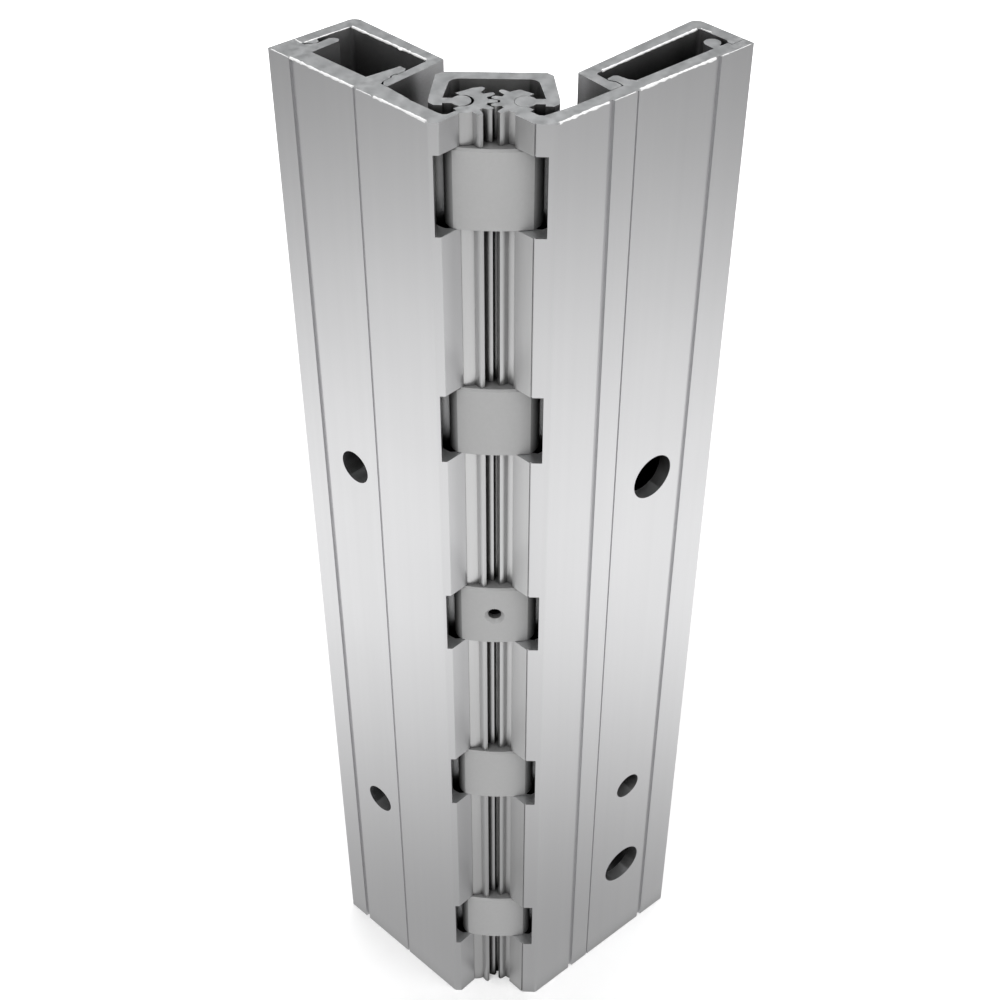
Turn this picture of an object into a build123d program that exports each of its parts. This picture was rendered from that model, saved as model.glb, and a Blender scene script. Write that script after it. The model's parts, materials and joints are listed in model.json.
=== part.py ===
from build123d import *
import math
import os

# Continuous geared hinge, cut to a short length and standing on end.
# Millimetres. Z runs along the hinge, the mounting faces look toward -Y,
# X runs across. The origin is on the bottom end, midway between the gears.
# Each leaf is drawn in its own frame: u runs outward along the plate and
# w rearward, both from the axis of its own gear.

# Driving dimensions
hinge_length = 304.8
gear_spacing = 12.7
tooth_count = 13
pressure_angle = 20.0
tooth_add = 0.75
tooth_ded = 1.25
backlash = 0.16
rest_swing = 41.5
full_swing = 84.0

bulb_r = 2.3
socket_gap = 0.08
left_bulb_relief = 0.5
neck_thick = 2.2
neck_gap = 0.25

plate_front = 11.3
pocket_floor = 7.0
heel_u = -1.5
left_toe_u = -3.0
left_end = (-3.2, -4.4)
right_toe_u = -4.75
right_end = (-5.3, -3.0)
heel_round = 0.9
edge_round = 0.35
arm_end_u = 7.3
left_reach = 46.3
left_side_lean = 0.12
right_reach = 54.1
right_side_lean = 0.065
left_arm_thick = 4.35
left_bed_thick = 5.15
right_plate_thick = 3.75

cap_rear_y = 12.5
cap_rear_wall = 3.0
cap_rear_half = 10.6
cap_shoulder_halves = (12.4, 11.9)
cap_shoulder_drop = 1.2
cap_side_half = 13.2
cap_side_wall = 2.8
cap_foot_y = -2.0
cap_foot_half = 10.1
cap_foot_slant = 1.2
cap_inner_round = 2.2

left_box_in = 15.3
left_box_rear = 10.4
left_box_rise = 1.2
left_hinge_wall = 2.2
right_box_in = 16.2
right_box_rear = 2.6
right_box_rise = 2.5
right_hinge_wall = 2.6
outer_wall = 3.2
cover_rear_wall = 2.7
cover_rear_swell = 1.1
cover_round = 2.2
cover_inner_round = 0.8
clip_gap = 0.12

left_lip_w = -4.65
left_hook_top = 2.0
right_hook_top = -3.0
right_rebate_w = -8.65
right_rebate_wide = 4.2
hook_thick = 2.3
lip_slope = 1.9
hook_bulb_r = 1.85
head_clear = 1.5

bearing_drops = (16.6, 76.7, 138.7, 201.1, 269.0)
notch_height = 18.9
notch_left = 11.95
notch_right = 11.15
bearing_gap = 0.1
bearing_half = 10.35
bearing_waist_half = 9.2
bearing_front = 6.9
bearing_shoulder_y = -2.1
bearing_round = 4.75
bearing_crown_r = 40.0
bearing_chamfer = 0.5

left_hole_drops = (104.7, 233.9)
left_hole_d = 9.0
left_hole_u = 28.1
right_hole_drops = (109.0, 229.7, 267.9)
right_hole_ds = (12.4, 8.4, 13.4)
right_hole_u = 33.3

groove_wide = 1.5
groove_deep = 0.8
left_line_wide = 0.75
right_line_wide = 0.5
line_deep = 0.4
heel_line_wide = 0.4
left_groove_u = 38.7
left_line_u = 19.6
right_groove_us = (13.1, 43.5)
right_line_u = 20.25

set_screw_d = 3.4
set_screw_sink = 2.4
set_screw_mouth = 5.2
hex_across = 1.5
hex_deep = 1.8

# Sizes that follow from them
pitch_r = gear_spacing / 2
module = gear_spacing / tooth_count
tooth_step = 360 / tooth_count
tip_r = pitch_r + tooth_add * module
root_r = pitch_r - tooth_ded * module
base_r = pitch_r * math.cos(math.radians(pressure_angle))
socket_r = bulb_r + socket_gap
neck_half = neck_thick / 2
cavity_y = cap_rear_y - cap_rear_wall
mesh_angle = 180 - rest_swing
left_bed = left_bed_thick - plate_front
right_bed = right_plate_thick - plate_front
heel_line_turn = 90 - (rest_swing + 90) / 2
slot = 40.0


def outline(points):
    """Flat face from corner points, always drawn counter-clockwise."""
    turns = zip(points, points[1:] + points[:1])
    area = sum(a[0] * b[1] - b[0] * a[1] for a, b in turns)
    return Polygon(*(points if area > 0 else points[::-1]), align=None)


def soften(section, radius, *spots):
    """Round the corners of a section that lie nearest to the given points."""
    def away(spot):
        return lambda v: (v.X - spot[0]) ** 2 + (v.Y - spot[1]) ** 2
    corners = [min(section.vertices(), key=away(spot)) for spot in spots]
    return fillet(corners, radius)


def polar(radius, degrees):
    angle = math.radians(degrees)
    return (radius * math.cos(angle), radius * math.sin(angle))


def two_halves(right, left):
    """Closed outline from a right-hand half and a left-hand half seen mirrored."""
    return outline(right + [(-x, y) for x, y in reversed(left)])


def prism(section, bottom, height):
    return extrude(Pos(0, 0, bottom) * section, height, dir=(0, 0, 1))


# Gear teeth

def involute(angle):
    return math.tan(angle) - angle


def tooth_half(radius):
    """Half the angle that a tooth takes up at one radius, in degrees."""
    at_pitch = (math.pi * module / 2 - backlash) / 2 / pitch_r
    there = math.acos(min(1.0, base_r / radius))
    full = at_pitch + involute(math.radians(pressure_angle)) - involute(there)
    return math.degrees(full)


def gear_tooth(middle):
    """One tooth, with a small flare at its foot."""
    radii = [base_r + (tip_r - base_r) * k / 3 for k in range(4)]
    flank = [polar(root_r - 0.3, middle + tooth_half(base_r) + 3)]
    flank += [polar(root_r, middle + tooth_half(base_r) + 2)]
    flank += [polar(r, middle + tooth_half(r)) for r in radii]
    other = [polar(root_r - 0.3, middle - tooth_half(base_r) - 3)]
    other += [polar(root_r, middle - tooth_half(base_r) - 2)]
    other += [polar(r, middle - tooth_half(r)) for r in radii]
    return outline(flank + other[::-1])


def in_leaf(x, y, swing):
    """A point of the cap, outward x from the gear axis, seen from the leaf."""
    a = math.radians(swing)
    return (x * math.cos(a) + y * math.sin(a), y * math.cos(a) - x * math.sin(a))


def swing_pocket():
    """The space that the neck and foot of the cap sweep beside the gear."""
    lip_w = neck_half + neck_gap
    inner = in_leaf(math.sqrt(socket_r ** 2 - lip_w ** 2), -lip_w, full_swing)
    outer = in_leaf(3.5, -lip_w, full_swing)
    toe = in_leaf(cap_foot_half - pitch_r, cap_foot_y, full_swing)
    foot = in_leaf(cap_side_half - 1.1 - pitch_r, cap_foot_y, full_swing)
    side = in_leaf(cap_side_half - pitch_r, cap_foot_y + cap_foot_slant, full_swing)
    far = tip_r + 1
    return outline([
        (0, lip_w), (far, lip_w), (far, -pocket_floor), (side[0] + 0.2, -pocket_floor),
        ((side[0] + foot[0]) / 2 - 0.3, (side[1] + foot[1]) / 2 - 0.4),
        (foot[0] - 0.4, foot[1] - 0.1), (toe[0] - 0.4, toe[1] + 0.2),
        outer, inner, (0, 0)])


def geared_edge(first_tooth, teeth, filled):
    """C-shaped socket with gear teeth round its back."""
    edge = Circle(root_r)
    for k in range(teeth):
        edge += gear_tooth(first_tooth + k * tooth_step)
    lip_w = neck_half + neck_gap
    tip_u = cap_side_half - cap_side_wall - pitch_r - 0.7
    far = tip_r + 1
    edge -= outline([
        (tip_u + 0.3, lip_w - 1), (tip_u - 0.9, lip_w + 3.2),
        (tip_u - 0.9, far), (far, far), (far, lip_w - 1)])
    if filled:
        edge += lip_web(first_tooth, tip_u, lip_w)
    return edge


def lip_web(tooth, tip_u, lip_w):
    """Solid metal between the rearmost tooth and the rear lip."""
    end = polar(tip_r, tooth - tooth_half(tip_r))
    return outline([end, (tip_u - 1, root_r + 0.1), (tip_u - 0.9, lip_w + 3), (0, lip_w + 2)])


def side_u(reach, lean, w):
    """Where the leaning outer side stands at one height above the plate front."""
    return reach - lean * (w + plate_front)


def toe_corner(toe_u):
    return (toe_u, -plate_front + (heel_u - toe_u) * math.tan(math.radians(rest_swing)))


def leaf_plate(reach, lean, box_in, arm_thick, bed_thick, toe_u, end):
    """Plate with its bevelled heel and the bridge up to the gear."""
    bed = bed_thick - plate_front
    plate = outline([
        (reach, -plate_front), (heel_u, -plate_front), toe_corner(toe_u), end,
        (end[0] + 1, end[1] + 1), (0, end[1] + 1), (0, -pocket_floor),
        (arm_end_u, arm_thick - plate_front), (box_in, bed), (side_u(reach, lean, bed), bed)])
    plate = soften(plate, heel_round, (heel_u, -plate_front))
    return soften(plate, edge_round, (reach, -plate_front), toe_corner(toe_u))


def left_hooks(reach, box_in, bed):
    """Hinge-side hook, outer hook and the lip that carries the cover."""
    wall = box_in + left_hinge_wall + clip_gap
    top = left_hook_top
    near = outline([
        (wall + hook_thick + 1.7, bed - 0.5), (wall + hook_thick + 1.6, bed),
        (wall + hook_thick + 0.2, top - 1.5), (wall + hook_thick, top), (wall + 0.6, top),
        (wall, top - 0.8), (wall, top - 2.7), (wall + 0.5, top - 3.1), (wall + 0.5, top - 4.5),
        (wall, top - 4.9), (wall, bed + 1.1), (wall - 0.8, bed - 0.5)])
    side = side_u(reach, left_side_lean, left_lip_w)
    lip_in = side - outer_wall - clip_gap
    stem = lip_in - lip_slope
    far = outline([
        (stem - hook_thick, bed - 0.5), (stem - hook_thick - 0.3, top - 0.8),
        (stem - hook_thick + 0.5, top), (stem - 0.8, top - 0.3), (stem, top - 1.3),
        (stem, left_lip_w + 2.3), (lip_in - 0.35, left_lip_w - 0.1), (side, left_lip_w),
        (side_u(reach, left_side_lean, bed - 0.5), bed - 0.5)])
    return near + far


def right_hooks(reach, box_in, bed):
    """Hinge-side hook with a barb, and a round-headed outer hook."""
    wall = box_in + right_hinge_wall + clip_gap
    top = right_hook_top
    near = outline([
        (wall + hook_thick + 2.0, bed - 0.5), (wall + hook_thick + 1.9, bed),
        (wall + hook_thick + 1.0, bed + 1.4), (wall + hook_thick + 0.5, top - 0.5),
        (wall + hook_thick - 0.3, top), (wall + 0.3, top - 0.2), (wall, top - 0.8),
        (wall + 0.8, top - 2.1), (wall + 0.8, bed - 0.5)])
    head_u = reach - outer_wall - clip_gap - head_clear - hook_bulb_r
    head = Pos(head_u, top - 0.5 - hook_bulb_r) * Circle(hook_bulb_r)
    stem = outline([
        (head_u - hook_bulb_r, bed - 0.5), (head_u - hook_bulb_r, top - 0.5 - hook_bulb_r),
        (head_u + 0.3, top - 0.5 - hook_bulb_r), (head_u + 0.3, bed - 0.5)])
    return near + head + stem


def front_groove(u, wide, deep):
    """Narrow groove down the mounting face, its floor a little narrower."""
    return outline([
        (u - wide / 2, -plate_front - 0.1), (u + wide / 2, -plate_front - 0.1),
        (u + wide * 0.4, -plate_front + deep), (u - wide * 0.4, -plate_front + deep)])


def heel_line():
    """Fine line down the toe corner of the right heel."""
    deep = heel_line_wide * 2
    return Pos(*toe_corner(right_toe_u)) * Rot(0, 0, heel_line_turn) * Rectangle(deep, heel_line_wide)


def cover_shell(reach, lean, box_in, hinge_wall, rear, rise, low):
    """Box of a cover, open toward the plate and drawn from w = low."""
    far_rear = rear + rise
    far_in = far_rear - cover_rear_wall - cover_rear_swell
    corner = (side_u(reach, lean, far_rear), far_rear)
    shell = outline([(box_in, low), (box_in, rear), corner, (side_u(reach, lean, low), low)])
    shell = soften(soften(shell, cover_round, corner), edge_round, (box_in, rear))
    inner = box_in + hinge_wall
    near = (inner, rear - cover_rear_wall)
    far = (side_u(reach, lean, far_in) - outer_wall, far_in)
    hollow = outline([(inner, low - 1), near, far, (side_u(reach, lean, low - 1) - outer_wall, low - 1)])
    return shell - soften(hollow, cover_inner_round, near, far)


def place_right(shape):
    return Pos(pitch_r, 0, 0) * Rot(0, 0, rest_swing) * shape


def place_left(shape):
    return mirror(place_right(shape), about=Plane.YZ)


# Pieces

def notch_cuts():
    """Slots through the geared edges, one for each bearing."""
    middle = (notch_right - notch_left) / 2
    wide = notch_right + notch_left
    return [Pos(middle, 0, hinge_length - drop) * Box(wide, slot, notch_height) for drop in bearing_drops]


def plate_hole(u, drop, diameter):
    hole = Rot(90, 0, 0) * Cylinder(diameter / 2, plate_front)
    return Pos(u, -plate_front, hinge_length - drop) * hole


def make_leaf(section, holes, grooves, place):
    for u, wide, deep in grooves:
        section -= front_groove(u, wide, deep)
    leaf = prism(section, 0, hinge_length)
    for u, drop, diameter in holes:
        leaf -= plate_hole(u, drop, diameter)
    leaf = place(leaf)
    for cut in notch_cuts():
        leaf -= cut
    return leaf


def left_section():
    section = leaf_plate(
        left_reach, left_side_lean, left_box_in, left_arm_thick, left_bed_thick, left_toe_u, left_end)
    section += geared_edge(mesh_angle - 2 * tooth_step, 5, True)
    section -= swing_pocket()
    section -= Circle(socket_r)
    return section + left_hooks(left_reach, left_box_in, left_bed)


def left_leaf():
    holes = [(left_hole_u, drop, left_hole_d) for drop in left_hole_drops]
    grooves = [(left_groove_u, groove_wide, groove_deep), (left_line_u, left_line_wide, line_deep)]
    return make_leaf(left_section(), holes, grooves, place_left)


def right_section():
    section = leaf_plate(
        right_reach, right_side_lean, right_box_in, right_plate_thick, right_plate_thick,
        right_toe_u, right_end)
    section += geared_edge(mesh_angle - 1.5 * tooth_step, 4, False)
    section -= swing_pocket()
    section -= Circle(socket_r)
    section += right_hooks(right_reach, right_box_in, right_bed)
    section -= heel_line()
    rebate_u = right_reach - right_rebate_wide
    return section - outline([
        (rebate_u, right_rebate_w), (right_reach + 1, right_rebate_w),
        (right_reach + 1, right_bed + 1), (rebate_u, right_bed + 1)])


def right_leaf():
    holes = [(right_hole_u, drop, d) for drop, d in zip(right_hole_drops, right_hole_ds)]
    grooves = [(u, groove_wide, groove_deep) for u in right_groove_us]
    grooves.append((right_line_u, right_line_wide, line_deep))
    return make_leaf(right_section(), holes, grooves, place_right)


def cap_outside(shoulder_half):
    return [
        (cap_rear_half, cap_rear_y), (shoulder_half, cap_rear_y - cap_shoulder_drop),
        (cap_side_half, cap_foot_y + 3), (cap_side_half, cap_foot_y + cap_foot_slant),
        (cap_side_half - 1.1, cap_foot_y), (cap_foot_half, cap_foot_y)]


def cap_inside(shoulder_half):
    wall = cap_side_half - cap_side_wall
    return [
        (shoulder_half - cap_side_wall - 0.3, cavity_y), (wall, neck_half), (wall, -neck_half),
        (cap_foot_half, cap_foot_y - 1)]


def gear_cap():
    """C-shaped cap whose two bulbs are the hinge axes of the leaves."""
    left_half, right_half = cap_shoulder_halves
    outside = two_halves(cap_outside(right_half), cap_outside(left_half))
    hollow = two_halves(cap_inside(right_half), cap_inside(left_half))
    for x in (-left_half, right_half):
        outside = soften(outside, edge_round, (x, cap_rear_y - cap_shoulder_drop))
        hollow = soften(hollow, cap_inner_round, (x, cavity_y))
    section = outside - hollow
    bulb = Circle(bulb_r)
    section += Pos(pitch_r, 0) * bulb
    section += Pos(-pitch_r, 0) * (bulb & Pos(-left_bulb_relief, 0) * bulb)
    reach = cap_side_half - cap_side_wall / 2 - pitch_r
    for sign in (-1, 1):
        section += Pos(sign * (pitch_r + reach / 2), 0) * Rectangle(reach, neck_thick)
    return prism(section, 0, hinge_length)


def bearing_section():
    """Wide rounded front, a waist between the feet of the cap, a tapered rear."""
    deep = bearing_front + bearing_shoulder_y
    front = Pos(0, bearing_shoulder_y - deep / 2) * Rectangle(2 * bearing_half, deep)
    front = soften(front, bearing_round, (-bearing_half, -bearing_front), (bearing_half, -bearing_front))
    front &= Pos(0, bearing_crown_r - bearing_front) * Circle(bearing_crown_r)
    inside_half = min(cap_shoulder_halves) - cap_side_wall
    half = [
        (bearing_waist_half, bearing_shoulder_y - 0.1), (bearing_waist_half, neck_half),
        (inside_half - 0.9, cavity_y - 2.6), (inside_half - 2.6, cavity_y - 0.4)]
    return front + two_halves(half, half)


def thrust_bearing(drop):
    """Block with a rounded front, threaded on the bulbs of the cap."""
    low = hinge_length - drop - notch_height / 2 + bearing_gap
    high = notch_height - 2 * bearing_gap
    block = prism(bearing_section(), low, high)
    rim = block.faces().sort_by(Axis.Z)[-1].edges()
    block = chamfer([e for e in rim if e.center().Y < -bearing_front + 0.2], bearing_chamfer)
    for sign in (-1, 1):
        ring = Pos(sign * pitch_r, 0) * Circle(bulb_r + 0.1)
        gap = Pos(sign * (pitch_r + bearing_half / 2), 0) * Rectangle(bearing_half, neck_thick)
        block -= prism(ring + gap, low - 1, high + 2)
    return block


def set_screw_axis(drop):
    return Pos(0, 0, hinge_length - drop) * Rot(90, 0, 0)


def drill_bearing(block, drop):
    span = cavity_y + bearing_front
    bore = Cylinder(set_screw_d / 2, 2 * span)
    mouth = Cone(set_screw_mouth / 2 + 0.5, set_screw_d / 2 - 0.1, 1.5)
    block -= set_screw_axis(drop) * bore
    return block - set_screw_axis(drop) * (Pos(0, 0, bearing_front - 0.25) * Rot(180, 0, 0) * mouth)


def bearing_set_screw():
    """Set screw through the middle bearing, its point on the cap."""
    start = bearing_front - set_screw_sink
    long = start + cavity_y
    body = Pos(0, 0, start - long / 2) * Cylinder(set_screw_d / 2 - 0.05, long)
    key = RegularPolygon(hex_across / 2, 6, major_radius=False)
    body -= Pos(0, 0, start - hex_deep) * extrude(key, hex_deep + 1)
    return set_screw_axis(bearing_drops[2]) * body


def left_cover_section():
    """Cover that stands on the bed of the left leaf and on its outer lip."""
    foot = left_bed + clip_gap
    section = cover_shell(
        left_reach, left_side_lean, left_box_in, left_hinge_wall, left_box_rear, left_box_rise, foot)
    inner = left_box_in + left_hinge_wall
    outer = side_u(left_reach, left_side_lean, left_lip_w) - outer_wall
    section += outline([
        (inner, left_hook_top - 3.0), (inner + 0.45, left_hook_top - 3.3),
        (inner + 0.45, left_hook_top - 4.3), (inner, left_hook_top - 4.6)])
    section -= outline([
        (inner - 1, foot - 1), (inner - 1, foot), (inner + 1, foot + 2.2), (inner + 1, foot - 1)])
    section += outline([
        (outer + 0.1, left_lip_w), (outer - 1.7, left_lip_w + 2.0),
        (outer - 1.7, left_lip_w + 2.8), (outer - 0.2, left_lip_w + 3.6)])
    return section - outline([
        (outer - 3, foot - 1), (outer - 3, left_lip_w + clip_gap),
        (left_reach + 1, left_lip_w + clip_gap), (left_reach + 1, foot - 1)])


def left_cover():
    return place_left(prism(left_cover_section(), 0, hinge_length))


def right_cover_section():
    """Cover that stands on the right plate, its outer foot in the rebate."""
    low = right_rebate_w + clip_gap
    section = cover_shell(
        right_reach, right_side_lean, right_box_in, right_hinge_wall, right_box_rear,
        right_box_rise, low)
    foot = right_bed + clip_gap
    inner = right_box_in + right_hinge_wall
    section -= outline([
        (right_box_in - 1, low - 1), (right_box_in - 1, foot), (inner + 1, foot), (inner + 1, low - 1)])
    section += soften(outline([
        (inner - 0.5, foot), (inner + 0.65, foot), (inner + 0.65, right_hook_top - 2.4),
        (inner, right_hook_top - 1.3), (inner - 0.5, right_hook_top - 1.3)]), 0.5, (inner + 0.65, foot))
    outer = side_u(right_reach, right_side_lean, low + 2.0) - outer_wall
    foot_in = right_reach - right_rebate_wide + clip_gap
    return section + outline([
        (outer + 0.5, low), (foot_in, low), (foot_in, low + 1.1), (outer, low + 2.0),
        (outer + 0.5, low + 2.0)])


def right_cover():
    return place_right(prism(right_cover_section(), 0, hinge_length))


def build_all():
    pieces = {
        "left_leaf": left_leaf(),
        "right_leaf": right_leaf(),
        "gear_cap": gear_cap(),
        "left_cover": left_cover(),
        "right_cover": right_cover(),
        "bearing_set_screw": bearing_set_screw(),
    }
    for index, drop in enumerate(bearing_drops):
        block = thrust_bearing(drop)
        if index == 2:
            block = drill_bearing(block, drop)
        pieces[f"thrust_bearing_{index + 1}"] = block
    return pieces


os.makedirs("parts", exist_ok=True)
for name, piece in build_all().items():
    export_step(piece, f"parts/{name}.step")
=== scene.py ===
import json
import math

import bmesh
import bpy
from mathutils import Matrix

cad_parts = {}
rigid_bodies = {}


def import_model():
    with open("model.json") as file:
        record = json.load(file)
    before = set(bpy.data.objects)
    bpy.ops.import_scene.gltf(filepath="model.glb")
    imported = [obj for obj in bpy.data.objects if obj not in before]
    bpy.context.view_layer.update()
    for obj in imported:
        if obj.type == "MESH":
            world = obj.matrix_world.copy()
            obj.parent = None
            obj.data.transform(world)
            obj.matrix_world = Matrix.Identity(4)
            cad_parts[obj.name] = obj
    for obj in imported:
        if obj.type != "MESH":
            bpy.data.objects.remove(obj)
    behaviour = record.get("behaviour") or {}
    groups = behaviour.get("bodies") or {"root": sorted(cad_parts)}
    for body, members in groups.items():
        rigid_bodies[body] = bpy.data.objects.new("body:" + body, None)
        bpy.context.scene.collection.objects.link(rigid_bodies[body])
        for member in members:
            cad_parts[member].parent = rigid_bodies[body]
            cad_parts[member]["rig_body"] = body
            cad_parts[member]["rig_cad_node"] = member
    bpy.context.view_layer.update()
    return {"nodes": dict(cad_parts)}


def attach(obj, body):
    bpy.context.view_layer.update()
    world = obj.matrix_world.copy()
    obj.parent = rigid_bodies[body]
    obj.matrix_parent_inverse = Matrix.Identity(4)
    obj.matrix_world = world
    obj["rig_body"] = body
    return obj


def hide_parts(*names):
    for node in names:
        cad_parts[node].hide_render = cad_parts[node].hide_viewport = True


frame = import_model()

# Looks of a continuous geared hinge, cut to a short length and standing on end.
# Metres, Z along the hinge, mounting faces toward -Y, origin on the lower end.

MM = 0.001
HINGE_LENGTH = 304.8 * MM
REST_SWING = math.radians(41.5)
GEAR_AXIS = 6.35 * MM
PLATE_FRONT = 11.3 * MM

# Camera, seen from in front and well above
CAMERA_PLACE = (9.55 * MM, -297.8 * MM, 459.14 * MM)
CAMERA_TILT = math.radians(48.88)
CAMERA_TURN = math.radians(1.61)
CAMERA_LENS = 58.77
CAMERA_SENSOR = 36
CAMERA_NEAR = 0.01

# Broken edge of the saw cuts. The short edges of the cut outlines make Clamp Overlap
# hold the bevel to 0.001 to 0.004 mm, so the edges stay sharp to the eye.
EDGE_BREAK = 0.14 * MM
EDGE_BREAK_SEGMENTS = 2
SHORTEST_BROKEN = 0.5 * MM

# How the faces of a piece are told apart
CORNER_ANGLE = math.radians(24)
FLAT_ANGLE = math.radians(0.6)
UPRIGHT = 0.9
TOOTHED_HALF = 6.95 * MM
GROOVE_DEPTH = 1.0 * MM
SAME_PLACE = 0.001 * MM


def linear(colour):
    """sRGB hex, as #RRGGBB, to a linear colour with alpha."""
    shares = [int(colour[i:i + 2], 16) / 255 for i in (1, 3, 5)]
    light = [c / 12.92 if c <= 0.04045 else ((c + 0.055) / 1.055) ** 2.4 for c in shares]
    return (*light, 1.0)


def add_node(tree, kind, inputs=None, **settings):
    """Add a node: settings go on the node, inputs are values or sockets to link from."""
    node = tree.nodes.new(kind)
    for name, value in settings.items():
        setattr(node, name, value)
    for name, value in (inputs or {}).items():
        if isinstance(value, bpy.types.NodeSocket):
            tree.links.new(value, node.inputs[name])
        else:
            node.inputs[name].default_value = value
    return node


def new_material(name):
    material = bpy.data.materials.new(name)
    material.use_nodes = True
    material.node_tree.nodes.clear()
    return material, material.node_tree


# Materials

# Places of sockets whose names repeat: Mix's numbers and colours, Vector Math's Scale
NUMBER_A, NUMBER_B = 2, 3
COLOUR_A, COLOUR_B, MIXED_COLOUR = 6, 7, 2
SCALE_BY = 3

# The part of its range that a noise texture mostly keeps to
NOISE_RANGE = {"From Min": 0.3, "From Max": 0.7}

# Painted shade in gaps: rays per point, and the open share at which a gap is at its darkest
GAP_SAMPLES = 6
CLOSED_SHARE = 0.08

# Sawn ends. The Wave texture runs through 20 radians per unit, and one radian of the
# arcs is 0.8 mm, which sets them 2 pi times 0.8 mm apart.
WAVE_RADIANS = 20
ARC_RADIAN = 0.8 * MM
BLADE_SHIFT = (0.19, -0.11, 0)
MOTTLE_SHARE = 0.72


def shaded_in_gaps(tree, colour, reach, dark, clear):
    """A colour that falls off where other walls within reach leave a share of the
    view below clear, down to dark at the bottom of a narrow gap. The photo shows
    gaps nearly black and this light doesn't, so the darkness is drawn into the colour."""
    near = add_node(tree, "ShaderNodeAmbientOcclusion", {"Distance": reach}, samples=GAP_SAMPLES)
    open_share = add_node(tree, "ShaderNodeMapRange", {
        "Value": near.outputs["AO"], "From Min": CLOSED_SHARE, "From Max": clear,
        "To Min": dark, "To Max": 1.0})
    shaded = add_node(tree, "ShaderNodeVectorMath", {
        0: colour, SCALE_BY: open_share.outputs[0]}, operation="SCALE")
    return shaded.outputs["Vector"]


def extruded_anodised_aluminium(name, painted_gap_shade):
    """Aluminium pressed through a die, etched and clear anodised: an even satin
    grey with only a breath of die lines along the profile, drawn wider than real
    ones, which are too fine to see here. With painted_gap_shade, narrow gaps get
    painted shade, nearly black; the shallow grooves of the plates go without it
    and stay as light as the plate. The photo shows narrow gaps nearly black, for a
    cause it doesn't show, and the shallow grooves of the plates as light as the plate,
    so the grooves go without painted_gap_shade."""
    material, tree = new_material(name)
    place = add_node(tree, "ShaderNodeTexCoord").outputs["Object"]
    across, along = 1 / (2.4 * MM), 1 / (220 * MM)
    run = add_node(tree, "ShaderNodeMapping", {"Vector": place, "Scale": (across, across, along)})
    die_lines = add_node(tree, "ShaderNodeTexNoise", {
        "Vector": run.outputs[0], "Scale": 1.0, "Detail": 2.0, "Roughness": 0.5})
    cloud = add_node(tree, "ShaderNodeTexNoise", {
        "Vector": place, "Scale": 1 / (38 * MM), "Detail": 2.0, "Roughness": 0.5})
    tone = add_node(tree, "ShaderNodeMix", {
        "Factor": die_lines.outputs["Fac"],
        COLOUR_A: linear("#DCDCDD"), COLOUR_B: linear("#E1E1E2")}, data_type="RGBA")
    gloss = add_node(tree, "ShaderNodeMapRange", {
        "Value": cloud.outputs["Fac"], **NOISE_RANGE, "To Min": 0.31, "To Max": 0.35})
    relief = add_node(tree, "ShaderNodeBump", {
        "Height": die_lines.outputs["Fac"], "Strength": 0.04, "Distance": 0.02 * MM})
    skin = tone.outputs[MIXED_COLOUR]
    # Painted shade: narrow gaps are darkened in the colour, nearly black at their bottoms
    if painted_gap_shade:
        skin = shaded_in_gaps(tree, skin, 17 * MM, 0.02, 0.56)
    shader = add_node(tree, "ShaderNodeBsdfPrincipled", {
        "Base Color": skin, "Metallic": 1.0,
        "Roughness": gloss.outputs[0], "Normal": relief.outputs[0]})
    add_node(tree, "ShaderNodeOutputMaterial", {"Surface": shader.outputs[0]})
    return material


def sawn_aluminium():
    """Bare aluminium as a circular saw leaves it: a mottled mid grey, smeared
    here and there, with shallow arcs of the blade. Real tooth marks are too fine to
    see here, so the arcs are drawn about 5 mm apart."""
    material, tree = new_material("sawn_aluminium")
    place = add_node(tree, "ShaderNodeTexCoord").outputs["Object"]
    blade = add_node(tree, "ShaderNodeMapping", {
        "Vector": place, "Location": BLADE_SHIFT, "Scale": (1, 1, 0)})
    arcs = add_node(tree, "ShaderNodeTexWave", {
        "Vector": blade.outputs[0], "Scale": 1 / (WAVE_RADIANS * ARC_RADIAN), "Distortion": 3.0,
        "Detail": 2.0, "Detail Scale": 1.5}, wave_type="RINGS", rings_direction="SPHERICAL")
    mottle = add_node(tree, "ShaderNodeTexNoise", {
        "Vector": place, "Scale": 1 / (1.5 * MM), "Detail": 5.0, "Roughness": 0.65,
        "Distortion": 0.3})
    marks = add_node(tree, "ShaderNodeMix", {
        "Factor": MOTTLE_SHARE, NUMBER_A: arcs.outputs["Fac"],
        NUMBER_B: mottle.outputs["Fac"]}, data_type="FLOAT")
    tone = add_node(tree, "ShaderNodeMix", {
        "Factor": marks.outputs[0],
        COLOUR_A: linear("#8C8E8F"), COLOUR_B: linear("#BDBEBF")}, data_type="RGBA")
    gloss = add_node(tree, "ShaderNodeMapRange", {
        "Value": mottle.outputs["Fac"], **NOISE_RANGE, "To Min": 0.33, "To Max": 0.45})
    relief = add_node(tree, "ShaderNodeBump", {
        "Height": marks.outputs[0], "Strength": 0.22, "Distance": 0.03 * MM})
    shader = add_node(tree, "ShaderNodeBsdfPrincipled", {
        "Base Color": tone.outputs[MIXED_COLOUR], "Metallic": 1.0, "Roughness": gloss.outputs[0],
        "Normal": relief.outputs[0]})
    add_node(tree, "ShaderNodeOutputMaterial", {"Surface": shader.outputs[0]})
    return material


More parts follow.
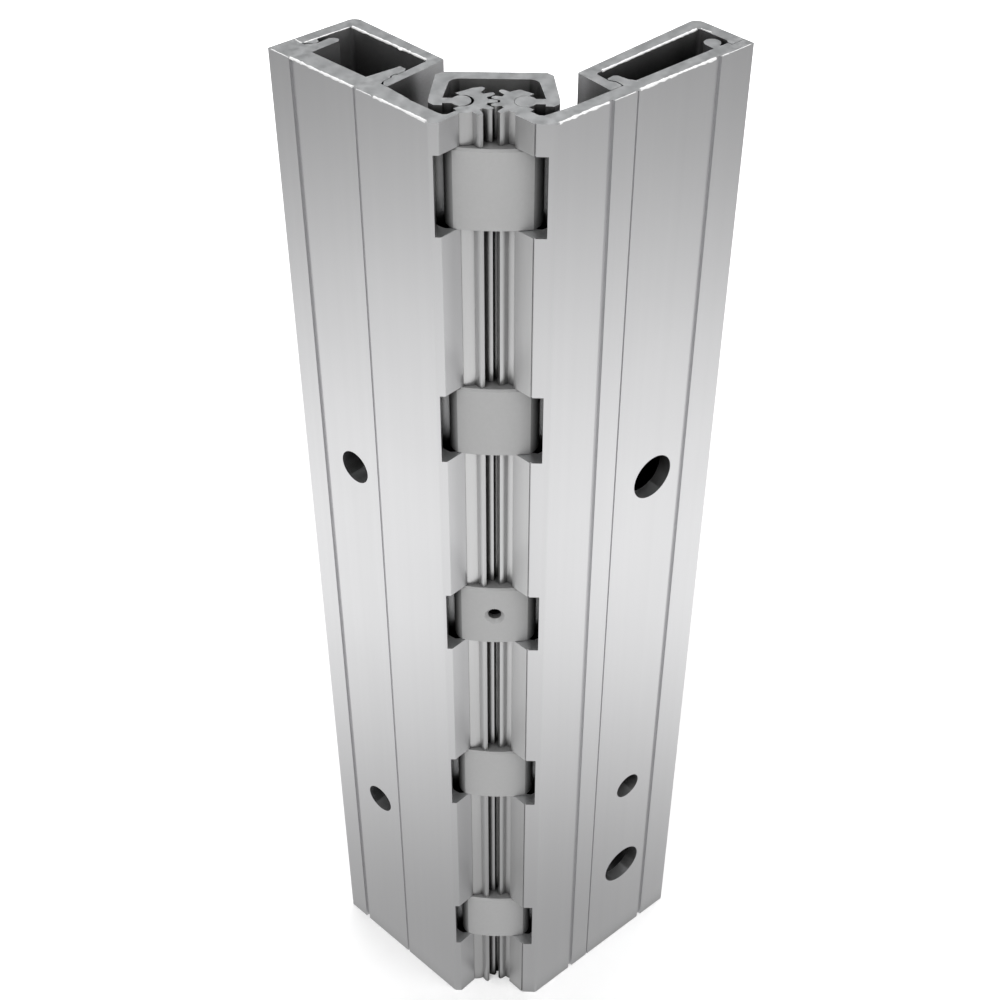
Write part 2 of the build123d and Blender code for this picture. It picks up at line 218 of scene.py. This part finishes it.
def milled_aluminium():
    """Walls that the cutter left facing up or down, cut after anodising: bare metal,
    its feed marks drawn as a fine even grain."""
    material, tree = new_material("milled_aluminium")
    place = add_node(tree, "ShaderNodeTexCoord").outputs["Object"]
    feed = add_node(tree, "ShaderNodeTexNoise", {
        "Vector": place, "Scale": 1 / (0.7 * MM), "Detail": 3.0, "Roughness": 0.6})
    tone = add_node(tree, "ShaderNodeMix", {
        "Factor": feed.outputs["Fac"],
        COLOUR_A: linear("#D4D5D6"), COLOUR_B: linear("#E6E7E8")}, data_type="RGBA")
    relief = add_node(tree, "ShaderNodeBump", {
        "Height": feed.outputs["Fac"], "Strength": 0.2, "Distance": 0.02 * MM})
    shader = add_node(tree, "ShaderNodeBsdfPrincipled", {
        "Base Color": tone.outputs[MIXED_COLOUR], "Metallic": 1.0, "Roughness": 0.42,
        "Normal": relief.outputs[0]})
    add_node(tree, "ShaderNodeOutputMaterial", {"Surface": shader.outputs[0]})
    return material


def torn_aluminium_painted_glint():
    """The burr that a saw tooth rolls over an edge: fresh torn metal, the brightest
    part of the cut. It is drawn nearly white and hardly metallic, a painted glint
    that stands in for the light its facets catch from every side."""
    material, tree = new_material("torn_aluminium_painted_glint")
    place = add_node(tree, "ShaderNodeTexCoord").outputs["Object"]
    tear = add_node(tree, "ShaderNodeTexNoise", {
        "Vector": place, "Scale": 1 / (0.5 * MM), "Detail": 3.0, "Roughness": 0.6})
    tone = add_node(tree, "ShaderNodeMix", {
        "Factor": tear.outputs["Fac"],
        COLOUR_A: linear("#F2F2F2"), COLOUR_B: linear("#FFFFFF")}, data_type="RGBA")
    # Nearly white and hardly metallic: fresh metal with a painted glint
    shader = add_node(tree, "ShaderNodeBsdfPrincipled", {
        "Base Color": tone.outputs[MIXED_COLOUR], "Metallic": 0.2, "Roughness": 0.5})
    add_node(tree, "ShaderNodeOutputMaterial", {"Surface": shader.outputs[0]})
    return material


def toothed_edge_aluminium():
    """The toothed edge of a leaf: a little duller than the anodised skin beside
    it, with painted shade that takes it nearly black in the roots of the teeth."""
    material, tree = new_material("toothed_edge_aluminium")
    place = add_node(tree, "ShaderNodeTexCoord").outputs["Object"]
    stretched_place = add_node(tree, "ShaderNodeMapping", {
        "Vector": place, "Scale": (1 / (1.5 * MM), 1 / (1.5 * MM), 1 / (25 * MM))})
    streak_noise = add_node(tree, "ShaderNodeTexNoise", {
        "Vector": stretched_place.outputs[0], "Scale": 1.0, "Detail": 3.0, "Roughness": 0.6})
    tone = add_node(tree, "ShaderNodeMix", {
        "Factor": streak_noise.outputs["Fac"],
        COLOUR_A: linear("#D2D2D2"), COLOUR_B: linear("#DCDCDC")}, data_type="RGBA")
    # The colour carries painted shade in the roots of the teeth
    shader = add_node(tree, "ShaderNodeBsdfPrincipled", {
        "Base Color": shaded_in_gaps(tree, tone.outputs[MIXED_COLOUR], 6 * MM, 0.01, 0.66),
        "Metallic": 1.0, "Roughness": 0.36})
    add_node(tree, "ShaderNodeOutputMaterial", {"Surface": shader.outputs[0]})
    return material


def machined_acetal():
    """Grey acetal sawn from bar and faced: a dull waxy skin with barely any grain.
    The photo shows its sides darker close to the walls of the slot, for a cause it
    doesn't show. Its sides get painted shade close to the walls of the slot."""
    material, tree = new_material("machined_acetal")
    place = add_node(tree, "ShaderNodeTexCoord").outputs["Object"]
    grain = add_node(tree, "ShaderNodeTexNoise", {
        "Vector": place, "Scale": 1 / (0.8 * MM), "Detail": 3.0, "Roughness": 0.6})
    tone = add_node(tree, "ShaderNodeMix", {
        "Factor": grain.outputs["Fac"],
        COLOUR_A: linear("#A6A6A6"), COLOUR_B: linear("#ADADAD")}, data_type="RGBA")
    relief = add_node(tree, "ShaderNodeBump", {
        "Height": grain.outputs["Fac"], "Strength": 0.1, "Distance": 0.02 * MM})
    # The colour carries painted shade on the sides close to the slot walls
    shader = add_node(tree, "ShaderNodeBsdfPrincipled", {
        "Base Color": shaded_in_gaps(tree, tone.outputs[MIXED_COLOUR], 12 * MM, 0.01, 0.88),
        "Roughness": 0.45, "IOR": 1.48, "Normal": relief.outputs[0]})
    add_node(tree, "ShaderNodeOutputMaterial", {"Surface": shader.outputs[0]})
    return material


def blackened_steel():
    """Hardened steel with a black oxide skin, as set screws have."""
    material, tree = new_material("blackened_steel")
    place = add_node(tree, "ShaderNodeTexCoord").outputs["Object"]
    skin = add_node(tree, "ShaderNodeTexNoise", {
        "Vector": place, "Scale": 1 / (0.6 * MM), "Detail": 3.0})
    tone = add_node(tree, "ShaderNodeMix", {
        "Factor": skin.outputs["Fac"],
        COLOUR_A: linear("#121213"), COLOUR_B: linear("#1E1E20")}, data_type="RGBA")
    shader = add_node(tree, "ShaderNodeBsdfPrincipled", {
        "Base Color": tone.outputs[MIXED_COLOUR], "Metallic": 1.0, "Roughness": 0.5})
    add_node(tree, "ShaderNodeOutputMaterial", {"Surface": shader.outputs[0]})
    return material


# The first anodised skin carries painted shade in narrow gaps; the second is the same skin without
# that painted shade, for the grooves
ANODISED = extruded_anodised_aluminium("extruded_anodised_aluminium", True)
ANODISED_UNSHADED = extruded_anodised_aluminium("anodised_aluminium_without_painted_shade", False)
SAWN = sawn_aluminium()
MILLED = milled_aluminium()
TORN_GLINT = torn_aluminium_painted_glint()
TOOTHED_EDGE = toothed_edge_aluminium()
ACETAL = machined_acetal()
BLACKENED = blackened_steel()


# Pieces

def is_end_cut(face):
    low = abs(face.calc_center_median().z) < SAME_PLACE
    high = abs(face.calc_center_median().z - HINGE_LENGTH) < SAME_PLACE
    return abs(face.normal.z) > UPRIGHT and (low or high)


def in_section(point):
    """A place at rest, as (u, w) in the section of the leaf on its side."""
    out, back = abs(point.x) - GEAR_AXIS, point.y
    turn, lean = math.cos(REST_SWING), math.sin(REST_SWING)
    return out * turn + back * lean, back * turn - out * lean


def merged_copy(node, name):
    """A copy of a CAD node with its loose triangles joined into plain faces."""
    piece = frame["nodes"][node].copy()
    piece.data = piece.data.copy()
    piece.name = name
    piece.data.materials.clear()
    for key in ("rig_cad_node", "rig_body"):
        if key in piece:
            del piece[key]
    bpy.context.scene.collection.objects.link(piece)
    mesh = bmesh.new()
    mesh.from_mesh(piece.data)
    bmesh.ops.remove_doubles(mesh, verts=mesh.verts, dist=SAME_PLACE)
    bmesh.ops.dissolve_limit(mesh, angle_limit=FLAT_ANGLE, verts=mesh.verts, edges=mesh.edges)
    for face in mesh.faces:
        face.smooth = True
    for edge in mesh.edges:
        edge.smooth = len(edge.link_faces) == 2 and edge.calc_face_angle() < CORNER_ANGLE
    mesh.to_mesh(piece.data)
    mesh.free()
    return piece


def metal_profile(node, body):
    """Dress one extruded profile by face: anodised skin with painted shade in narrow
    gaps, sawn ends, milled walls, toothed edges with painted shade in the roots of
    the teeth, and grooves in the same skin without the painted shade."""
    piece = merged_copy(node, node + "_profile")
    skins = (ANODISED, SAWN, MILLED, TOOTHED_EDGE, ANODISED_UNSHADED)
    for material in skins:
        piece.data.materials.append(material)
    mesh = bmesh.new()
    mesh.from_mesh(piece.data)
    for face in mesh.faces:
        if is_end_cut(face):
            face.material_index = skins.index(SAWN)
        elif abs(face.normal.z) > UPRIGHT:
            face.material_index = skins.index(MILLED)
        # Toothed edges: painted shade in the roots of the teeth
        elif abs(face.calc_center_median().x) < TOOTHED_HALF:
            face.material_index = skins.index(TOOTHED_EDGE)
        # Grooves: the anodised skin without the painted gap shade
        elif SAME_PLACE < in_section(face.calc_center_median())[1] + PLATE_FRONT < GROOVE_DEPTH:
            face.material_index = skins.index(ANODISED_UNSHADED)
    weight = mesh.edges.layers.float.new("bevel_weight_edge")
    for edge in mesh.edges:
        cut = [is_end_cut(face) for face in edge.link_faces]
        if len(cut) == 2 and cut[0] != cut[1] and edge.calc_length() > SHORTEST_BROKEN:
            edge[weight] = 1.0
    mesh.to_mesh(piece.data)
    mesh.free()
    broken_edge = piece.modifiers.new("broken_edge", "BEVEL")
    broken_edge.limit_method = "WEIGHT"
    broken_edge.width = EDGE_BREAK
    broken_edge.segments = EDGE_BREAK_SEGMENTS
    broken_edge.use_clamp_overlap = True
    even = piece.modifiers.new("even_faces", "WEIGHTED_NORMAL")
    even.mode = "FACE_AREA"
    even.weight = 100
    even.keep_sharp = True
    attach(piece, body)
    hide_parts(node)


for node, body in (("left_leaf", "left"), ("left_cover", "left"), ("right_leaf", "right"),
                   ("right_cover", "right"), ("gear_cap", "cap")):
    metal_profile(node, body)

for number in range(1, 6):
    node = f"thrust_bearing_{number}"
    block = merged_copy(node, node + "_block")
    block.data.materials.append(ACETAL)
    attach(block, "cap")
    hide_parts(node)

screw = merged_copy("bearing_set_screw", "set_screw_body")
screw.data.materials.append(BLACKENED)
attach(screw, "cap")
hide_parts("bearing_set_screw")


# Burrs

# Runs of burr on the sawn upper end, as places in a leaf's own section (u out from
# the gear axis, w back from it, mm) and the half width of the burr, mm.
LEFT_BURRS = (
    (((45.2, -11.1), (39.7, -11.15)), 0.14),
    (((39.3, -11.0), (30.0, -11.05), (20.2, -11.0)), 0.34),
    (((19.1, -11.15), (14.8, -11.1)), 0.12),
    (((14.0, -11.05), (6.0, -11.0), (-0.8, -11.1)), 0.34),
    (((42.5, -4.2), (40.9, 7.3)), 0.15),
    (((40.5, 7.85), (30.8, 7.8), (24.6, 7.8), (18.0, 7.75)), 0.32),
    (((26.0, 7.5), (25.3, 7.2), (24.8, 7.55)), 0.24),
    (((45.1, -4.5), (43.9, -4.8), (42.8, -4.7)), 0.15),
)
RIGHT_BURRS = (
    (((-0.9, -11.1), (7.0, -11.0), (12.4, -11.05)), 0.34),
    (((13.9, -11.15), (19.6, -11.15)), 0.11),
    (((20.9, -11.05), (31.0, -11.0), (42.6, -11.05)), 0.34),
    (((44.4, -11.1), (46.4, -11.15)), 0.18),
    (((46.6, -11.15), (53.2, -11.15)), 0.1),
    (((20.6, 0.0), (34.4, 0.65), (49.3, 1.3)), 0.32),
    (((50.3, 0.9), (50.8, -1.8)), 0.13),
)
BURR_STEP = 0.45 * MM
BURR_WANDER = 0.16 * MM
BURR_TEAR = 1.3 * MM
BURR_THINNEST, BURR_THICKEST = 0.45, 1.3
BURR_SIDES = 8


def saw_burr_tool():
    """Geometry Nodes tool: edges with a burr_half_width become a ragged rolled lip,
    thicker and thinner along its run, with its bits torn sideways."""
    tree = bpy.data.node_groups.new("saw_burr", "GeometryNodeTree")
    tree.interface.new_socket("Geometry", in_out="INPUT", socket_type="NodeSocketGeometry")
    tree.interface.new_socket("Step", in_out="INPUT", socket_type="NodeSocketFloat")
    tree.interface.new_socket("Wander", in_out="INPUT", socket_type="NodeSocketFloat")
    tree.interface.new_socket("Material", in_out="INPUT", socket_type="NodeSocketMaterial")
    tree.interface.new_socket("Geometry", in_out="OUTPUT", socket_type="NodeSocketGeometry")
    given = add_node(tree, "NodeGroupInput")
    half_width = add_node(tree, "GeometryNodeInputNamedAttribute", {
        "Name": "burr_half_width"}, data_type="FLOAT")
    runs = add_node(tree, "GeometryNodeMeshToCurve", {"Mesh": given.outputs["Geometry"]})
    steps = add_node(tree, "GeometryNodeResampleCurve", {
        "Curve": runs.outputs[0], "Length": given.outputs["Step"]}, mode="LENGTH")
    place = add_node(tree, "GeometryNodeInputPosition")
    tear = add_node(tree, "ShaderNodeTexNoise", {
        "Vector": place.outputs[0], "Scale": 1 / BURR_TEAR, "Detail": 3.0, "Roughness": 0.7})
    share = add_node(tree, "ShaderNodeMapRange", {
        "Value": tear.outputs["Fac"], **NOISE_RANGE, "To Min": BURR_THINNEST,
        "To Max": BURR_THICKEST})
    radius = add_node(tree, "ShaderNodeMath", {
        0: half_width.outputs["Attribute"], 1: share.outputs[0]}, operation="MULTIPLY")
    centred = add_node(tree, "ShaderNodeVectorMath", {
        0: tear.outputs["Color"], 1: (0.5, 0.5, 0.5)}, operation="SUBTRACT")
    strayed = add_node(tree, "ShaderNodeVectorMath", {
        0: centred.outputs[0], SCALE_BY: given.outputs["Wander"]}, operation="SCALE")
    ragged = add_node(tree, "GeometryNodeSetPosition", {
        "Geometry": steps.outputs[0], "Offset": strayed.outputs[0]})
    ring = add_node(tree, "GeometryNodeCurvePrimitiveCircle", {
        "Resolution": BURR_SIDES, "Radius": 1.0})
    lip = add_node(tree, "GeometryNodeCurveToMesh", {
        "Curve": ragged.outputs[0], "Profile Curve": ring.outputs[0], "Scale": radius.outputs[0],
        "Fill Caps": True})
    whole = add_node(tree, "GeometryNodeRealizeInstances", {"Geometry": lip.outputs[0]})
    dressed = add_node(tree, "GeometryNodeSetMaterial", {
        "Geometry": whole.outputs[0], "Material": given.outputs["Material"]})
    add_node(tree, "NodeGroupOutput", {"Geometry": dressed.outputs[0]})
    return tree


def in_leaf(side, u, w):
    """A place in a leaf's section (mm), at rest, in the object's own frame."""
    across = GEAR_AXIS + (u * math.cos(REST_SWING) - w * math.sin(REST_SWING)) * MM
    return side * across, (u * math.sin(REST_SWING) + w * math.cos(REST_SWING)) * MM


def saw_burrs(name, body, side, runs, tool):
    """One mesh of burrs on the upper sawn end of one leaf with its cover."""
    points, edges, half_widths = [], [], []
    for places, half_width in runs:
        first = len(points)
        points += [(*in_leaf(side, u, w), HINGE_LENGTH) for u, w in places]
        edges += [(i, i + 1) for i in range(first, len(points) - 1)]
        half_widths += [half_width * MM] * len(places)
    mesh = bpy.data.meshes.new(name)
    mesh.from_pydata(points, edges, [])
    mesh.attributes.new("burr_half_width", "FLOAT", "POINT").data.foreach_set("value", half_widths)
    piece = bpy.data.objects.new(name, mesh)
    bpy.context.scene.collection.objects.link(piece)
    rolling = piece.modifiers.new("saw_burr", "NODES")
    rolling.node_group = tool
    sockets = {item.name: item.identifier
               for item in tool.interface.items_tree if item.in_out == "INPUT"}
    rolling[sockets["Step"]] = BURR_STEP
    rolling[sockets["Wander"]] = BURR_WANDER
    rolling[sockets["Material"]] = TORN_GLINT
    evaluated = piece.evaluated_get(bpy.context.evaluated_depsgraph_get())
    rolled = bpy.data.meshes.new_from_object(evaluated)
    piece.modifiers.remove(rolling)
    piece.data = rolled
    rolled.name = name
    for face in rolled.polygons:
        face.use_smooth = True
    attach(piece, body)


burr_tool = saw_burr_tool()
saw_burrs("left_saw_burrs", "left", -1, LEFT_BURRS, burr_tool)
saw_burrs("right_saw_burrs", "right", 1, RIGHT_BURRS, burr_tool)


# Studio

FLOOR_HALF = 3.0

# In reflections the floor carries a painted pool of light and a painted shadow under the hinge
# What reflections see: not the white of the lens, but levels chosen until the plates
# had the tones of the photo. The floor is BRIGHT at POOL_MIDDLE from the object and
# falls to these shares of it nearer and further off. TENT is the grey of the room.
POOL_NEAR, POOL_MIDDLE, POOL_FAR = 0.03, 0.23, 0.70
NEAR_LEVEL, FAR_LEVEL, BRIGHT = 0.40, 0.31, 1.16
TENT = 0.40

# The floor that the hinge covers at rest, a painted shadow that is black in reflections, and its
# soft borders
UNDER_REACH, REACH_FADE = 58 * MM, 12 * MM
BACK_LINE, BACK_FADE = 8 * MM, 8 * MM
FRONT_LINE = -PLATE_FRONT + GEAR_AXIS * math.sin(REST_SWING)
FRONT_FADE_START, FRONT_FADE_END = FRONT_LINE - 1 * MM, FRONT_LINE + 4 * MM

# White that the paper gives the lens near the object, on top of the lamps' light
LENS_LIFT = 0.24

AIM = (0, 0.01, 0.15)


def studio_floor():
    """White paper. The lens sees it white with the shadow on it. Reflections see a
    painted pool of light, bright in a ring, darker close by and further out, and a
    painted shadow, black, under the object."""
    mesh = bpy.data.meshes.new("studio_floor")
    corners = [(-FLOOR_HALF, -FLOOR_HALF, 0), (FLOOR_HALF, -FLOOR_HALF, 0),
               (FLOOR_HALF, FLOOR_HALF, 0), (-FLOOR_HALF, FLOOR_HALF, 0)]
    mesh.from_pydata(corners, [], [(0, 1, 2, 3)])
    floor = bpy.data.objects.new("studio_floor", mesh)
    bpy.context.scene.collection.objects.link(floor)
    material, tree = new_material("white_paper")
    path = add_node(tree, "ShaderNodeLightPath")
    place = add_node(tree, "ShaderNodeTexCoord").outputs["Object"]
    away = add_node(tree, "ShaderNodeVectorMath", {0: place}, operation="LENGTH")
    rise = add_node(tree, "ShaderNodeMapRange", {
        "Value": away.outputs["Value"], "From Min": POOL_NEAR, "From Max": POOL_MIDDLE,
        "To Min": NEAR_LEVEL * BRIGHT, "To Max": BRIGHT}, interpolation_type="SMOOTHSTEP")
    fall = add_node(tree, "ShaderNodeMapRange", {
        "Value": away.outputs["Value"], "From Min": POOL_MIDDLE, "From Max": POOL_FAR,
        "To Min": 1.0, "To Max": FAR_LEVEL}, interpolation_type="SMOOTHSTEP")
    pool = add_node(tree, "ShaderNodeMath", {
        0: rise.outputs[0], 1: fall.outputs[0]}, operation="MULTIPLY")
    folded = add_node(tree, "ShaderNodeVectorMath", {0: place}, operation="ABSOLUTE")
    sides = add_node(tree, "ShaderNodeSeparateXYZ", {0: folded.outputs["Vector"]})
    spot = add_node(tree, "ShaderNodeSeparateXYZ", {0: place})
    upright = add_node(tree, "ShaderNodeMath", {
        0: spot.outputs["Y"], 1: math.cos(REST_SWING)}, operation="MULTIPLY")
    behind = add_node(tree, "ShaderNodeMath", {
        0: sides.outputs["X"], 1: -math.sin(REST_SWING),
        2: upright.outputs[0]}, operation="MULTIPLY_ADD")
    under = add_node(tree, "ShaderNodeMapRange", {
        "Value": behind.outputs[0], "From Min": FRONT_FADE_START, "From Max": FRONT_FADE_END,
        "To Min": 0.0, "To Max": 1.0}, interpolation_type="SMOOTHSTEP")
    within = add_node(tree, "ShaderNodeMapRange", {
        "Value": away.outputs["Value"], "From Min": UNDER_REACH,
        "From Max": UNDER_REACH + REACH_FADE, "To Min": 1.0, "To Max": 0.0},
        interpolation_type="SMOOTHSTEP")
    beyond = add_node(tree, "ShaderNodeMapRange", {
        "Value": behind.outputs[0], "From Min": BACK_LINE, "From Max": BACK_LINE + BACK_FADE,
        "To Min": 1.0, "To Max": 0.0}, interpolation_type="SMOOTHSTEP")
    # Painted shadow: the floor under the hinge goes black in reflections
    stood_on = add_node(tree, "ShaderNodeMath", {
        0: under.outputs[0], 1: beyond.outputs[0]}, operation="MULTIPLY")
    painted_shadow_mask = add_node(tree, "ShaderNodeMath", {
        0: stood_on.outputs[0], 1: within.outputs[0]}, operation="MULTIPLY")
    outside_painted_shadow = add_node(tree, "ShaderNodeMath", {0: 1.0, 1: painted_shadow_mask.outputs[0]}, operation="SUBTRACT")
    mirrored_level = add_node(tree, "ShaderNodeMath", {
        0: pool.outputs[0], 1: outside_painted_shadow.outputs[0]}, operation="MULTIPLY")
    paper = add_node(tree, "ShaderNodeBsdfDiffuse", {"Color": linear("#F2F2F2")})
    lift = add_node(tree, "ShaderNodeMapRange", {
        "Value": away.outputs["Value"], "From Min": POOL_MIDDLE, "From Max": POOL_FAR,
        "To Min": LENS_LIFT, "To Max": 1.0}, interpolation_type="SMOOTHSTEP")
    lens = add_node(tree, "ShaderNodeEmission", {
        "Color": linear("#FFFFFF"), "Strength": lift.outputs[0]})
    seen = add_node(tree, "ShaderNodeAddShader", {0: paper.outputs[0], 1: lens.outputs[0]})
    mirrored = add_node(tree, "ShaderNodeEmission", {
        "Color": linear("#FFFFFF"), "Strength": mirrored_level.outputs[0]})
    seen_by_lens = add_node(tree, "ShaderNodeMath", {
        0: path.outputs["Is Camera Ray"],
        1: path.outputs["Is Transmission Ray"]}, operation="MAXIMUM")
    plain = add_node(tree, "ShaderNodeMixShader", {
        "Fac": seen_by_lens.outputs[0], 1: paper.outputs[0], 2: seen.outputs[0]})
    mixed = add_node(tree, "ShaderNodeMixShader", {
        "Fac": path.outputs["Is Glossy Ray"], 1: plain.outputs[0], 2: mirrored.outputs[0]})
    add_node(tree, "ShaderNodeOutputMaterial", {"Surface": mixed.outputs[0]})
    mesh.materials.append(material)


def studio_walls():
    """The room: white to the lens and through glass, a plain grey tent to other rays."""
    world = bpy.data.worlds.new("studio")
    bpy.context.scene.world = world
    world.use_nodes = True
    tree = world.node_tree
    tree.nodes.clear()
    path = add_node(tree, "ShaderNodeLightPath")
    seen = add_node(tree, "ShaderNodeMath", {
        0: path.outputs["Is Camera Ray"],
        1: path.outputs["Is Transmission Ray"]}, operation="MAXIMUM")
    tent = add_node(tree, "ShaderNodeBackground", {
        "Color": linear("#FFFFFF"), "Strength": TENT})
    white = add_node(tree, "ShaderNodeBackground", {
        "Color": linear("#FFFFFF"), "Strength": 1.0})
    mixed = add_node(tree, "ShaderNodeMixShader", {
        "Fac": seen.outputs[0], 1: tent.outputs[0], 2: white.outputs[0]})
    add_node(tree, "ShaderNodeOutputWorld", {"Surface": mixed.outputs[0]})


def softbox(name, place, aim, size, power):
    """A rectangular lamp of so many watts, turned from its place to its aim."""
    light = bpy.data.lights.new(name, "AREA")
    light.shape = "RECTANGLE"
    light.size, light.size_y = size
    light.energy = power
    lamp = bpy.data.objects.new(name, light)
    bpy.context.scene.collection.objects.link(lamp)
    lamp.location = place
    toward = [a - b for a, b in zip(aim, place)]
    flat = math.hypot(toward[0], toward[1])
    lamp.rotation_euler = (math.atan2(flat, -toward[2]), 0, math.atan2(-toward[0], toward[1]))


def camera():
    data = bpy.data.cameras.new("camera")
    data.lens = CAMERA_LENS
    data.sensor_width = CAMERA_SENSOR
    data.clip_start = CAMERA_NEAR
    seer = bpy.data.objects.new("camera", data)
    bpy.context.scene.collection.objects.link(seer)
    seer.location = CAMERA_PLACE
    seer.rotation_euler = (CAMERA_TILT, 0, CAMERA_TURN)
    bpy.context.scene.camera = seer


studio_floor()
studio_walls()
softbox("front_softbox", (-0.55, -0.95, 0.95), AIM, (0.8, 0.8), 8.0)
softbox("side_softbox", (0.95, -0.45, 0.7), AIM, (0.6, 0.8), 5.0)
softbox("top_softbox", (0.0, 0.55, 1.25), AIM, (0.9, 0.5), 7.0)
camera()

bpy.context.scene.view_settings.view_transform = "Standard"
